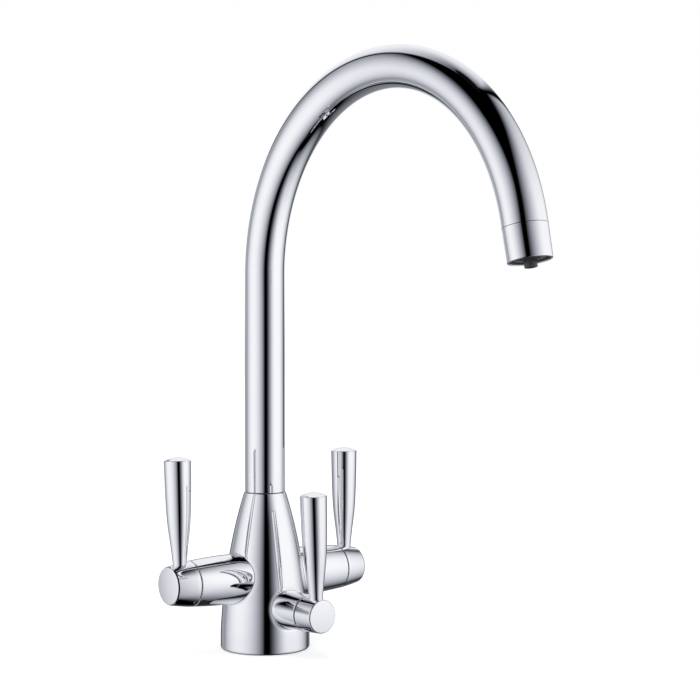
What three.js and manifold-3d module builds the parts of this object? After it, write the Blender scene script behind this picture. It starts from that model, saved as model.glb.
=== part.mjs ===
import * as THREE from 'three';
import { mergeVertices } from 'three/addons/utils/BufferGeometryUtils.js';
import Module from 'manifold-3d';

// A deck-mounted three way kitchen tap: hot and cold valves on two side arms, a filtered water
// valve on a low front arm, and a swivelling swan-neck spout with its own inner filtered way.
// Millimetres, +Z up. The origin is the centre of the base on the worktop. The spout and the
// filter arm point to -Y, the hot arm to -X and the cold arm to +X.

const wasm = await Module();
wasm.setup();

// ---- Driving dimensions ----

// Spout tube and its path
const tubeRadius = 12.3;
const tubeWall = 1.2;
const riserTop = 232;
const bendRadius = 115.2;
const bendAngle = THREE.MathUtils.degToRad(167.7);
const outletRun = 22.1;

// Nozzle on the end of the spout
const nozzleLength = 18.25;
const nozzleDraw = 0.3;
const nozzleWall = 1.3;
const nozzleLip = 0.4;
const nozzleNeck = 6;
const aeratorRecess = 1;
const aeratorWall = 1;
const aeratorFloor = 1.5;
const aeratorDepth = 3;
const aeratorHole = 0.9;
const aeratorHoles = 10;
const meshThickness = 0.4;
const meshInset = 0.5;

// Filtered water way inside the spout
const innerTubeRadius = 3.2;
const innerTubeWall = 1.1;
const spigotRadius = 3.5;
const spigotStandOut = 3.5;
const spigotBore = 2.2;
const nippleLength = 4.2;
const nippleWall = 0.75;

// Body casting: a bell on a straight foot, drawn in to the neck that carries the spout
const baseRadius = 27.65;
const baseEdge = 1.7;
const bodyTop = 97.3;
const flankHeight = 8;
const flankHandle = 12.8;
const neckHandleDown = 36.5;
const neckHandleOut = 11.45;
const neckStep = 0.65;
const neckEdge = 0.5;
const baseWall = 6.5;
const recessDepth = 8;

// Spout socket, stem and its rings
const socketDepth = 32;
const stemInTube = 16;
const stemBore = 7.3;
const bearingThickness = 1.4;
const collarThickness = 0.4;
const collarInset = 0.35;
const grooveDepth = 2;
const lowerRingHeight = 8;
const ringSpacing = 9;
const lockDepth = 6;
const lockGroove = 1.5;
const lockScrewRadius = 2;
const lockSocket = 1.2;
const lockStandBack = 0.6;

// Water ways drilled in the casting
const inletPitch = 12;
const filterInletPitch = 12;
const inletWay = 3.2;
const filterInletWay = 2.5;
const mixingWay = 2.2;
const filterOutletWay = 1.6;
const filterOutletRise = 5.6;
const centreWay = 2.4;
const mixingRadius = 8;
const wayWall = 1.5;
const wayOverlap = 5;
const sealSocketDepth = 10;
const innerRingWire = 0.9;

// Hose inlets under the base
const hoseThread = 4.6;
const hoseThreadDepth = 12;
const bossWall = 1.9;
const bossHeight = 6;

// Base seal and under-deck fixing, drawn on a worktop of full thickness
const gasketRadius = 25;
const gasketWidth = 2.6;
const gasketHeight = 1.35;
const gasketStandOut = 0.3;
const deckThickness = 38;
const studRadius = 3.9;
const studOffset = 13;
const studGrip = 11.5;
const studLength = 74;
const clampRadius = 24;
const clampSlot = 13;
const clampSlotCentre = -7.5;
const rubberThickness = 2;
const clampThickness = 3;
const nutFlats = 13;
const nutHeight = 10;

// Valve arms: axis height, distance from the tap's centre line to the hub's end, radius where the
// arm leaves the bell, distance from which it narrows and the power of that narrowing, radius at
// the seam and at the end, hub length, and the lever's place from the end
const sideArm = {
  axisHeight: 45.4,
  reach: 71.9,
  rootRadius: 15.25,
  narrowFrom: 24,
  narrowing: 2,
  seamRadius: 13.75,
  endRadius: 11.25,
  hubLength: 16,
  leverInset: 9.2,
  cartridgeRadius: 8.7,
  cartridgeLength: 34,
  spindleRadius: 3.6,
};
const filterArm = {
  axisHeight: 27.3,
  reach: 59.1,
  rootRadius: 12,
  narrowFrom: 22,
  narrowing: 1,
  seamRadius: 10.75,
  endRadius: 10.05,
  hubLength: 15,
  leverInset: 6.65,
  cartridgeRadius: 7.1,
  cartridgeLength: 30.5,
  spindleRadius: 3,
};

// How far each closed lever leans about its valve's axis
const hotLean = THREE.MathUtils.degToRad(2.2);
const coldLean = 0;
const filterLean = THREE.MathUtils.degToRad(1.9);

// Lever: a rod that swells from a slim neck to a blunt end
const leverLength = 63.2;
const leverNeck = 4.2;
const leverEnd = 8.2;
const leverSwell = 25.8;
const leverSwellOut = 2.4;
const leverEndHandle = 48.6;
const leverEndDraw = 0.7;
const leverEdge = 1.2;
const leverRoot = 2.4;
const leverRootLength = 6.5;
const leverSaddle = 3;

// Hub, end cap, screw and the headwork inside each valve
const seamGap = 0.7;
const glideThickness = 0.4;
const glideInset = 0.7;
const webHalf = 3.1;
const capThickness = 1.2;
const capEdge = 0.9;
const capRim = 2;
const plugWall = 1.2;
const headHeight = 1.1;
const headOverhang = 1.5;
const screwShank = 1.5;
const screwGrip = 6;
const driverSlot = 1.2;
const skirtStep = 1.2;
const skirtLength = 17;
const shellWall = 1;
const sealThickness = 2.4;
const sealBore = 2.6;
const discThickness = 2.8;
const driverThickness = 2.8;
const portInner = 1;
const portWall = 0.8;
const portAngle = THREE.MathUtils.degToRad(80);
const windowHeight = 5;
const windowWidth = 6;

// Play between pieces: around a shaft, between faces that rest together, and at a hairline joint
const slip = 0.3;
const rest = 0.15;
const hairline = 0.2;

// How far a cutter runs past the face that it opens, and how near two corners count as one
const cutPast = 1;
const mergeTolerance = 1e-4;

// Facets
const bodySides = 40;
const armSides = 28;
const tubeSides = 18;
const tubeSteps = 38;
const hubSides = 20;
const leverSides = 16;
const smallSides = 12;
const innerTubeSides = 8;
const innerTubeSteps = 30;
const wireSides = 6;
const edgeSteps = 2;
const bellSteps = 8;
const armSteps = 4;
const leverSteps = 6;

// ---- Values that follow from them ----

const tubeBore = tubeRadius - tubeWall;
const stemRadius = tubeBore - slip;
const socketRadius = stemRadius + slip;
const neckRadius = tubeRadius + neckStep;
const collarFoot = bodyTop + rest;
const tubeFoot = collarFoot + collarThickness + rest;
const socketFloor = bodyTop - socketDepth;
const stemFoot = socketFloor + rest + bearingThickness + rest;
const baseFace = gasketStandOut;
const recessRadius = baseRadius - baseWall;
const recessTop = baseFace + recessDepth;
const bossFace = recessTop - bossHeight;
const chamberFloor = sideArm.axisHeight + inletWay + wayWall;
const sealFloor = chamberFloor - sealSocketDepth;
const sealSocketRadius = innerTubeRadius + 2 * innerRingWire + 2 * hairline;
const filterOutletHeight = filterArm.axisHeight + filterOutletRise;
const grooveRadius = stemRadius - grooveDepth;
const stemRingWire = (socketRadius - grooveRadius) / 2 - rest;
const lowerRing = socketFloor + lowerRingHeight;
const upperRing = lowerRing + ringSpacing;
const lockHeight = bodyTop - lockDepth;
const sleeveStart = outletRun - nozzleLength;
const lipRadius = tubeRadius - nozzleDraw;

// ---- Materials ----

function finish(color, metalness, roughness) {
  return new THREE.MeshStandardMaterial({ color, metalness, roughness });
}
const chrome = finish(0xd9dce2, 1, 0.06);
const brass = finish(0xb99a55, 1, 0.35);
const steel = finish(0x9fa3a8, 1, 0.3);
const rubber = finish(0x1d1d1f, 0, 0.8);
const ceramic = finish(0xf1f0ea, 0, 0.3);
const whitePlastic = finish(0xe8e8e4, 0, 0.45);
const darkPlastic = finish(0x3a3a3f, 0, 0.5);

// ---- Making solids ----

// A solid of revolution about +Z from (radius, height) points, anticlockwise round the section
function turned(points, sides) {
  const outline = points.map(([radius, height]) => new THREE.Vector2(radius, height));
  const first = outline[0];
  const last = outline[outline.length - 1];
  if (first.x > 0 || last.x > 0) {
    outline.push(first.clone());
  }
  return new THREE.LatheGeometry(outline, sides).rotateX(Math.PI / 2);
}

// A plain rod along +Z between two heights
function rod(radius, from, to, sides = smallSides) {
  return turned([[0, from], [radius, from], [radius, to], [0, to]], sides);
}

// A ring of square section along +Z
function ring(inner, outer, from, to, sides = smallSides) {
  return turned([[inner, from], [outer, from], [outer, to], [inner, to]], sides);
}

// A rubber ring of round section
function oRing(inner, wire, height, sides = smallSides) {
  const points = [];
  for (let step = 0; step < wireSides; step += 1) {
    const angle = (step / wireSides) * 2 * Math.PI;
    points.push([inner + wire + wire * Math.cos(angle), height + wire * Math.sin(angle)]);
  }
  return turned(points, sides);
}

// Points of a round edge about a centre, between two angles in quarter turns
function roundEdge(radius, height, size, fromQuarter, toQuarter) {
  const points = [];
  for (let step = 0; step <= edgeSteps; step += 1) {
    const quarter = THREE.MathUtils.lerp(fromQuarter, toQuarter, step / edgeSteps);
    const angle = (quarter * Math.PI) / 2;
    points.push([radius + size * Math.cos(angle), height + size * Math.sin(angle)]);
  }
  return points;
}

function toManifold(geometry) {
  const bare = geometry.clone();
  bare.deleteAttribute('normal');
  bare.deleteAttribute('uv');
  const merged = mergeVertices(bare, mergeTolerance);
  const corners = merged.index.array;
  const triangles = [];
  for (let at = 0; at < corners.length; at += 3) {
    const [a, b, c] = corners.slice(at, at + 3);
    if (a !== b && b !== c && c !== a) {
      triangles.push(a, b, c);
    }
  }
  return new wasm.Manifold(new wasm.Mesh({
    numProp: 3,
    vertProperties: merged.attributes.position.array,
    triVerts: new Uint32Array(triangles),
  }));
}

function toGeometry(manifold) {
  const { vertProperties, triVerts } = manifold.getMesh();
  const geometry = new THREE.BufferGeometry();
  geometry.setAttribute('position', new THREE.BufferAttribute(new Float32Array(vertProperties), 3));
  geometry.setIndex(new THREE.BufferAttribute(new Uint32Array(triVerts), 1));
  geometry.computeVertexNormals();
  return geometry;
}

// Cuts every cutter out of a geometry
function cut(geometry, cutters) {
  let solid = toManifold(geometry);
  for (const cutter of cutters) {
    solid = solid.subtract(toManifold(cutter));
  }
  return toGeometry(solid);
}

function piece(name, geometry, material) {
  const mesh = new THREE.Mesh(geometry, material);
  mesh.name = name;
  return mesh;
}

// A group whose +Z lies along a direction, with +Y as near to world up as that allows
function frameAlong(direction, origin, up = new THREE.Vector3(0, 0, 1)) {
  const group = new THREE.Group();
  const side = new THREE.Vector3().crossVectors(up, direction).normalize();
  const top = new THREE.Vector3().crossVectors(direction, side);
  group.quaternion.setFromRotationMatrix(new THREE.Matrix4().makeBasis(side, top, direction));
  group.position.copy(origin);
  group.updateMatrixWorld(true);
  return group;
}

const placed = (geometry, group) => geometry.applyMatrix4(group.matrixWorld);

// ---- Where the valves stand ----

const valves = [
  { name: 'hot', arm: sideArm, direction: new THREE.Vector3(-1, 0, 0), lean: hotLean },
  { name: 'cold', arm: sideArm, direction: new THREE.Vector3(1, 0, 0), lean: coldLean },
  { name: 'filter', arm: filterArm, direction: new THREE.Vector3(0, -1, 0), lean: filterLean },
];
for (const valve of valves) {
  const { arm } = valve;
  valve.frame = () => frameAlong(valve.direction, new THREE.Vector3(0, 0, arm.axisHeight));
  valve.seam = arm.reach - arm.hubLength;
  valve.leverAt = arm.reach - arm.leverInset;
  valve.webStart = valve.leverAt - webHalf;
  valve.webEnd = valve.leverAt + webHalf;
  valve.headEnd = valve.webStart - slip;
  valve.seat = valve.headEnd - arm.cartridgeLength;
  valve.chamberRadius = arm.cartridgeRadius - skirtStep - shellWall;
  valve.discRadius = valve.chamberRadius - slip;
  valve.radiusAt = (along) => {
    if (along > valve.seam) {
      return THREE.MathUtils.lerp(arm.seamRadius, arm.endRadius, (along - valve.seam) / arm.hubLength);
    }
    const share = Math.max(0, (along - arm.narrowFrom) / (valve.seam - arm.narrowFrom));
    return THREE.MathUtils.lerp(arm.rootRadius, arm.seamRadius, share ** arm.narrowing);
  };
  valve.sealStart = valve.seat + rest;
  valve.fixedDisc = valve.sealStart + sealThickness + rest;
  valve.movingDisc = valve.fixedDisc + discThickness + rest;
  valve.driver = valve.movingDisc + discThickness + rest;
  valve.chamberEnd = valve.driver + driverThickness + rest;
}
const sideValve = valves[1];
const filterValve = valves[2];

// ---- Body casting ----

// The bell: rounded foot, straight flank, and one smooth curve up to the neck
function bellOutline() {
  const flank = baseFace + flankHeight;
  const curve = new THREE.CubicBezierCurve(
    new THREE.Vector2(baseRadius, flank),
    new THREE.Vector2(baseRadius, flank + flankHandle),
    new THREE.Vector2(neckRadius + neckHandleOut, bodyTop - neckHandleDown),
    new THREE.Vector2(neckRadius, bodyTop - neckEdge),
  );
  return [
    [0, baseFace],
    ...roundEdge(baseRadius - baseEdge, baseFace + baseEdge, baseEdge, -1, 0),
    ...curve.getPoints(bellSteps).map((point) => [point.x, point.y]),
    ...roundEdge(neckRadius - neckEdge, bodyTop - neckEdge, neckEdge, 0, 1).slice(1),
    [0, bodyTop],
  ];
}

// An arm, from inside the bell to the face at the hub's seam
function armBarrel(valve) {
  const root = valve.arm.cartridgeRadius;
  const face = valve.seam - seamGap / 2;
  const outline = [[0, root], [valve.radiusAt(root), root]];
  for (let step = 0; step <= armSteps; step += 1) {
    const along = THREE.MathUtils.lerp(valve.arm.narrowFrom, face, step / armSteps);
    outline.push([valve.radiusAt(along), along]);
  }
  outline.push([0, face]);
  return placed(turned(outline, armSides), valve.frame());
}

// The three hose sockets and the stud's hole, as places on the underside
const sockets = [
  { x: -inletPitch, y: 0, radius: hoseThread },
  { x: inletPitch, y: 0, radius: hoseThread },
  { x: 0, y: -filterInletPitch, radius: hoseThread },
  { x: 0, y: studOffset, radius: studRadius + slip },
];

// Cartridge bore, the way from its inlet drilling to the seat, and the drilling itself
function valveWays(valve, pitch, radius) {
  const bore = valve.arm.cartridgeRadius + slip;
  const down = valve.direction.clone().multiplyScalar(pitch);
  return [
    placed(rod(bore, valve.seat, valve.seam), valve.frame()),
    placed(rod(radius, pitch, valve.seat + rest), valve.frame()),
    rod(radius, bossFace, valve.arm.axisHeight + radius).translate(down.x, down.y, 0),
  ];
}

function bodyCasting() {
  let solid = toManifold(turned(bellOutline(), bodySides));
  for (const valve of valves) {
    solid = solid.add(toManifold(armBarrel(valve)));
  }
  const across = frameAlong(sideValve.direction, new THREE.Vector3(0, 0, chamberFloor + mixingWay + slip));
  const mixingReach = sideValve.seat + wayOverlap;
  const forward = frameAlong(filterValve.direction, new THREE.Vector3(0, 0, filterOutletHeight));
  const backward = frameAlong(new THREE.Vector3(0, 1, 0), new THREE.Vector3(0, 0, lockHeight));
  const cutters = [
    rod(recessRadius, baseFace - cutPast, recessTop, armSides),
    ring(gasketRadius - gasketWidth - slip, gasketRadius + slip, -cutPast, gasketHeight + slip, armSides),
    rod(socketRadius, socketFloor, bodyTop + cutPast, armSides),
    rod(mixingRadius, chamberFloor, socketFloor + rest),
    rod(sealSocketRadius, sealFloor, chamberFloor + rest),
    rod(centreWay, filterOutletHeight - filterOutletWay, sealFloor + rest),
    placed(rod(mixingWay, -mixingReach, mixingReach), across),
    placed(rod(filterOutletWay, 0, filterValve.seat + wayOverlap), forward),
    placed(rod(lockScrewRadius + slip, stemRadius, baseRadius), backward),
    ...valveWays(valves[0], inletPitch, inletWay),
    ...valveWays(valves[1], inletPitch, inletWay),
    ...valveWays(valves[2], filterInletPitch, filterInletWay),
  ];
  for (const cutter of cutters) {
    solid = solid.subtract(toManifold(cutter));
  }
  for (const { x, y, radius } of sockets) {
    const boss = rod(radius + bossWall, bossFace, recessTop + rest).translate(x, y, 0);
    solid = solid.add(toManifold(boss));
  }
  for (const { x, y, radius } of sockets) {
    const socket = rod(radius, bossFace - cutPast, bossFace + hoseThreadDepth).translate(x, y, 0);
    solid = solid.subtract(toManifold(socket));
  }
  return piece('body_casting', toGeometry(solid), chrome);
}

// ---- Base seal and under-deck fixing ----

function baseGasket() {
  const seal = ring(gasketRadius - gasketWidth, gasketRadius, 0, gasketHeight, armSides);
  return piece('base_gasket', seal, rubber);
}

function fixingStud() {
  const top = bossFace + studGrip;
  const stud = rod(studRadius, top - studLength, top).translate(0, studOffset, 0);
  return piece('fixing_stud', stud, steel);
}

// A horseshoe that clamps from below: the slot lets the hoses past, the hole takes the stud
function horseshoe(name, top, thickness, material) {
  const prong = -Math.sqrt(clampRadius ** 2 - clampSlot ** 2);
  const start = Math.atan2(prong, clampSlot);
  const outline = new THREE.Shape();
  outline.moveTo(clampSlot, prong);
  outline.absarc(0, 0, clampRadius, start, Math.PI - start, false);
  outline.lineTo(-clampSlot, clampSlotCentre);
  outline.absarc(0, clampSlotCentre, clampSlot, Math.PI, 0, true);
  const hole = new THREE.Path();
  hole.absarc(0, studOffset, studRadius + slip, 0, 2 * Math.PI, true);
  outline.holes.push(hole);
  const curveSegments = smallSides / 2;
  const plate = new THREE.ExtrudeGeometry(outline, { depth: thickness, bevelEnabled: false, curveSegments });
  return piece(name, plate.translate(0, 0, top - thickness), material);
}

function fixingNut(top) {
  const corner = nutFlats / 2 / Math.cos(Math.PI / 6);
  const outline = new THREE.Shape();
  for (let side = 0; side < 6; side += 1) {
    const angle = (side * Math.PI) / 3;
    const point = [corner * Math.cos(angle), corner * Math.sin(angle)];
    if (side === 0) {
      outline.moveTo(...point);
    } else {
      outline.lineTo(...point);
    }
  }
  const hole = new THREE.Path();
  hole.absarc(0, 0, studRadius + slip, 0, 2 * Math.PI, true);
  outline.holes.push(hole);
  const curveSegments = smallSides / 2;
  const nut = new THREE.ExtrudeGeometry(outline, { depth: nutHeight, bevelEnabled: false, curveSegments });
  return piece('fixing_nut', nut.translate(0, studOffset, top - nutHeight), brass);
}

function underDeck() {
  const group = new THREE.Group();
  const rubberTop = -deckThickness - rest;
  const plateTop = rubberTop - rubberThickness - rest;
  const nutTop = plateTop - clampThickness - rest;
  group.add(fixingStud());
  group.add(horseshoe('deck_washer_rubber', rubberTop, rubberThickness, rubber));
  group.add(horseshoe('deck_clamp_plate', plateTop, clampThickness, steel));
  group.add(fixingNut(nutTop));
  return group;
}

// ---- Valves ----

// Brass headwork: a skirt with two outlet windows round the discs, and a thicker threaded head
function cartridge(valve) {
  const { cartridgeRadius, spindleRadius } = valve.arm;
  const skirt = cartridgeRadius - skirtStep;
  const foot = valve.seat + sealThickness / 2;
  const outline = [
    [valve.chamberRadius, foot],
    [skirt, foot],
    [skirt, valve.seat + skirtLength],
    [cartridgeRadius, valve.seat + skirtLength + skirtStep],
    [cartridgeRadius, valve.headEnd],
    [spindleRadius + slip, valve.headEnd],
    [spindleRadius + slip, valve.chamberEnd],
    [valve.chamberRadius, valve.chamberEnd],
  ];
  const window = new THREE.BoxGeometry(windowWidth, 2 * (cartridgeRadius + cutPast), windowHeight);
  window.translate(0, 0, valve.movingDisc);
  return piece(`${valve.name}_cartridge_body`, cut(turned(outline, smallSides), [window]), brass);
}

function seatSeal(valve) {
  const seal = ring(sealBore, valve.discRadius, valve.sealStart, valve.sealStart + sealThickness);
  return piece(`${valve.name}_seat_seal`, seal, rubber);
}

// A ceramic disc with two fan-shaped ports
function ceramicDisc(name, valve, start, turn) {
  const outer = valve.discRadius - portWall;
  const cutters = [0, Math.PI].map((side) => {
    const from = side + turn - portAngle / 2;
    const port = new THREE.Shape();
    port.absarc(0, 0, outer, from, from + portAngle, false);
    port.absarc(0, 0, portInner, from + portAngle, from, true);
    const depth = discThickness + 2 * cutPast;
    const fan = new THREE.ExtrudeGeometry(port, { depth, bevelEnabled: false, curveSegments: edgeSteps });
    return fan.translate(0, 0, start - cutPast);
  });
  return piece(name, cut(rod(valve.discRadius, start, start + discThickness), cutters), ceramic);
}

// Thin ring in the seam that the hub glides on
function glideRing(valve) {
  const outer = valve.radiusAt(valve.seam) - glideInset;
  const half = glideThickness / 2;
  const inner = valve.arm.cartridgeRadius + slip;
  const glide = ring(inner, outer, valve.seam - half, valve.seam + half, hubSides);
  return piece(`${valve.name}_glide_ring`, glide, darkPlastic);
}

// Spindle: a driver on the moving disc, a round shaft, and a squared end in the hub's web
function spindle(valve) {
  const { spindleRadius } = valve.arm;
  const square = spindleRadius * Math.SQRT2 - hairline;
  const squareStart = valve.webStart - slip;
  const end = valve.webEnd - rest;
  const shaft = turned([
    [0, valve.driver],
    [valve.discRadius, valve.driver],
    [valve.discRadius, valve.driver + driverThickness],
    [spindleRadius, valve.driver + driverThickness],
    [spindleRadius, squareStart],
    [0, squareStart],
  ], smallSides);
  const drive = new THREE.BoxGeometry(square, square, end - squareStart + slip);
  drive.translate(0, 0, (end + squareStart - slip) / 2);
  const hole = rod(screwShank + slip, end - screwGrip - slip, end + cutPast);
  const solid = toManifold(shaft).add(toManifold(drive)).subtract(toManifold(hole));
  return piece(`${valve.name}_spindle`, toGeometry(solid), brass);
}

// Hub: a cone shell in line with its arm, with a web that grips the spindle and the lever's root
function hub(valve) {
  const { arm } = valve;
  const start = valve.seam + seamGap / 2;
  const end = arm.reach - capThickness - rest;
  const back = arm.cartridgeRadius + slip;
  const front = arm.endRadius - capRim;
  const bore = arm.spindleRadius - slip;
  const shell = turned([
    [back, start],
    [valve.radiusAt(start), start],
    [valve.radiusAt(end), end],
    [front, end],
    [front, valve.webEnd],
    [bore, valve.webEnd],
    [bore, valve.webStart],
    [back, valve.webStart],
  ], hubSides);
  const square = arm.spindleRadius * Math.SQRT2 + hairline;
  const drive = new THREE.BoxGeometry(square, square, 2 * (webHalf + cutPast));
  drive.translate(0, 0, valve.leverAt);
  const top = valve.radiusAt(valve.leverAt);
  const root = rod(leverRoot + slip, top - leverRootLength - slip, top + cutPast).rotateX(-Math.PI / 2);
  root.translate(0, 0, valve.leverAt);
  return piece(`${valve.name}_hub`, cut(shell, [drive, root]), chrome);
}

// End cap: a flat disc with a rounded edge over the hub's end, on a plug that fits the hub
function endCap(valve) {
  const { arm } = valve;
  const seatFace = arm.reach - capThickness;
  const plug = arm.endRadius - capRim - slip;
  const plugFoot = valve.webEnd + slip;
  const disc = turned([
    [0, seatFace],
    [plug - plugWall, seatFace],
    [plug - plugWall, plugFoot],
    [plug, plugFoot],
    [plug, seatFace],
    [arm.endRadius, seatFace],
    ...roundEdge(arm.endRadius - capEdge, arm.reach - capEdge, capEdge, 0, 1),
    [0, arm.reach],
  ], hubSides);
  return piece(`${valve.name}_end_cap`, disc, chrome);
}

// The screw that holds the hub on its spindle, with a slot across its head
function hubScrew(valve) {
  const headFoot = valve.webEnd + rest;
  const headRadius = valve.arm.spindleRadius + headOverhang;
  const screw = turned([
    [0, headFoot - screwGrip],
    [screwShank, headFoot - screwGrip],
    [screwShank, headFoot],
    [headRadius, headFoot],
    [headRadius, headFoot + headHeight],
    [0, headFoot + headHeight],
  ], smallSides);
  const slot = new THREE.BoxGeometry(2 * (headRadius + cutPast), driverSlot, headHeight);
  slot.translate(0, 0, headFoot + headHeight);
  return piece(`${valve.name}_hub_screw`, cut(screw, [slot]), steel);
}

// Lever: a turned rod whose foot is shaped to the hub, on a root that goes into the hub's web
function lever(valve) {
  const surface = valve.radiusAt(valve.leverAt);
  const top = surface + leverLength;
  const curve = new THREE.CubicBezierCurve(
    new THREE.Vector2(leverNeck, surface),
    new THREE.Vector2(leverNeck + leverSwellOut, surface + leverSwell),
    new THREE.Vector2(leverEnd - leverEndDraw, top - leverEndHandle),
    new THREE.Vector2(leverEnd, top - leverEdge),
  );
  const foot = surface - leverSaddle;
  const body = turned([
    [0, foot],
    [leverNeck, foot],
    ...curve.getPoints(leverSteps).map((point) => [point.x, point.y]),
    ...roundEdge(leverEnd - leverEdge, top - leverEdge, leverEdge, 0, 1).slice(1),
    [0, top],
  ], leverSides).rotateX(-Math.PI / 2).translate(0, 0, valve.leverAt);
  const from = valve.leverAt - leverEnd;
  const to = valve.leverAt + leverEnd;
  const saddle = turned([
    [0, from],
    [valve.radiusAt(from) + slip, from],
    [valve.radiusAt(to) + slip, to],
    [0, to],
  ], armSides);
  const root = rod(leverRoot, surface - leverRootLength, surface + leverSaddle).rotateX(-Math.PI / 2);
  root.translate(0, 0, valve.leverAt);
  const solid = toManifold(body).subtract(toManifold(saddle)).add(toManifold(root));
  return piece(`${valve.name}_lever`, toGeometry(solid), chrome);
}

// Everything in one valve: what stays in the arm, and what turns with the lever
function valveGroup(valve) {
  const fixed = valve.frame();
  const turning = new THREE.Group();
  turning.rotation.z = valve.lean;
  fixed.add(turning);
  fixed.add(cartridge(valve));
  fixed.add(seatSeal(valve));
  fixed.add(ceramicDisc(`${valve.name}_fixed_disc`, valve, valve.fixedDisc, 0));
  fixed.add(glideRing(valve));
  turning.add(ceramicDisc(`${valve.name}_moving_disc`, valve, valve.movingDisc, Math.PI / 2));
  turning.add(spindle(valve));
  turning.add(hub(valve));
  turning.add(hubScrew(valve));
  turning.add(endCap(valve));
  turning.add(lever(valve));
  return fixed;
}

// ---- Spout ----

// A circular bend in the plane of the spout, from the riser's top
class Bend extends THREE.Curve {
  getPoint(share, target = new THREE.Vector3()) {
    const angle = bendAngle * share;
    const outward = bendRadius * (1 - Math.cos(angle));
    return target.set(0, -outward, riserTop + bendRadius * Math.sin(angle));
  }
}

const outletDirection = new THREE.Vector3(0, -Math.sin(bendAngle), Math.cos(bendAngle));
const bendEnd = new Bend().getPoint(1);

// The spout's centre line from a height on the riser to a distance past the bend
function centreLine(foot, pastBend) {
  const path = new THREE.CurvePath();
  path.add(new THREE.LineCurve3(new THREE.Vector3(0, 0, foot), new THREE.Vector3(0, 0, riserTop)));
  path.add(new Bend());
  const end = bendEnd.clone().addScaledVector(outletDirection, pastBend);
  path.add(new THREE.LineCurve3(bendEnd.clone(), end));
  return path;
}

// A tube with an open bore along the centre line
function bentTube(outer, wall, foot, pastBend, sides, steps) {
  const section = new THREE.Shape();
  section.absarc(0, 0, outer, 0, 2 * Math.PI, false);
  const bore = new THREE.Path();
  bore.absarc(0, 0, outer - wall, 0, 2 * Math.PI, true);
  section.holes.push(bore);
  const extrudePath = centreLine(foot, pastBend);
  const curveSegments = sides / 2;
  return new THREE.ExtrudeGeometry(section, { steps, curveSegments, bevelEnabled: false, extrudePath });
}

function spoutTube() {
  const pastBend = sleeveStart - hairline / 2;
  const tube = bentTube(tubeRadius, tubeWall, tubeFoot, pastBend, tubeSides, tubeSteps);
  return piece('spout_tube', tube, chrome);
}

function filteredTube() {
  const foot = sealFloor + slip;
  const pastBend = nippleLength;
  const tube = bentTube(innerTubeRadius, innerTubeWall, foot, pastBend, innerTubeSides, innerTubeSteps);
  return piece('filtered_water_tube', tube, whitePlastic);
}

// A groove in the stem, as points down its outside from the upper edge
function grooveBetween(low, high, radius) {
  return [[stemRadius, low], [radius, low], [radius, high], [stemRadius, high]];
}

// Brass stem: brazed into the tube, and turning in the body's socket on two rings
function spoutStem() {
  const halfGroove = stemRingWire + hairline;
  const halfLock = lockScrewRadius + slip;
  const outline = [
    [stemBore, stemFoot],
    [stemRadius, stemFoot],
    ...grooveBetween(lowerRing - halfGroove, lowerRing + halfGroove, grooveRadius),
    ...grooveBetween(upperRing - halfGroove, upperRing + halfGroove, grooveRadius),
    ...grooveBetween(lockHeight - halfLock, lockHeight + halfLock, stemRadius - lockGroove),
    [stemRadius, tubeFoot + stemInTube],
    [stemBore, tubeFoot + stemInTube],
  ];
  return piece('spout_stem', turned(outline, tubeSides), brass);
}

function stemRings() {
  const inner = grooveRadius + rest;
  return [
    piece('stem_o_ring_lower', oRing(inner, stemRingWire, lowerRing, tubeSides), rubber),
    piece('stem_o_ring_upper', oRing(inner, stemRingWire, upperRing, tubeSides), rubber),
  ];
}

function bearingRing() {
  const foot = socketFloor + rest;
  const bearing = ring(mixingRadius, stemRadius, foot, foot + bearingThickness);
  return piece('spout_bearing_ring', bearing, whitePlastic);
}

function collarRing() {
  const inner = stemRadius + slip;
  const outer = neckRadius - collarInset;
  const collar = ring(inner, outer, collarFoot, collarFoot + collarThickness, hubSides);
  return piece('spout_collar_ring', collar, darkPlastic);
}

// Grub screw in the back of the neck: its tip rides in the stem's groove and keeps the spout in
function lockScrew() {
  const tip = stemRadius - lockGroove + slip;
  const end = neckRadius + lockStandBack;
  const screw = rod(lockScrewRadius, tip, end);
  const socket = rod(lockSocket, end - lockScrewRadius, end + cutPast, wireSides);
  const backward = frameAlong(new THREE.Vector3(0, 1, 0), new THREE.Vector3(0, 0, lockHeight));
  backward.add(piece('spout_lock_screw', cut(screw, [socket]), steel));
  return backward;
}

// Seal and guide where the inner tube turns in the casting
function innerSeal() {
  const seal = oRing(innerTubeRadius + hairline / 2, innerRingWire, sealFloor + rest + innerRingWire);
  const guideFoot = sealFloor + 2 * rest + 2 * innerRingWire;
  const guideInner = innerTubeRadius + slip;
  const guide = ring(guideInner, sealSocketRadius - slip, guideFoot, chamberFloor);
  return [
    piece('inner_tube_seal', seal, rubber),
    piece('inner_tube_guide', guide, whitePlastic),
  ];
}

// ---- Nozzle, along the outlet from the end of the bend ----

function nozzleSleeve() {
  const start = sleeveStart + hairline / 2;
  const neck = tubeBore - slip;
  const bore = lipRadius - nozzleWall;
  return piece('nozzle_sleeve', turned([
    [neck - nozzleWall, sleeveStart - nozzleNeck],
    [neck, sleeveStart - nozzleNeck],
    [neck, start],
    [tubeRadius, start],
    ...roundEdge(lipRadius - nozzleLip, outletRun - nozzleLip, nozzleLip, 0, 1),
    [bore, outletRun],
    [bore, start + nozzleWall],
    [neck - nozzleWall, start + nozzleWall],
  ], hubSides), chrome);
}

// Aerator housing: an outer wall, a drilled floor, and a sleeve round the filtered water spigot
const housingRadius = lipRadius - nozzleWall - slip;
const housingFace = outletRun - aeratorRecess;
const hubBore = spigotRadius + slip;
const housingHub = hubBore + aeratorWall;

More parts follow.
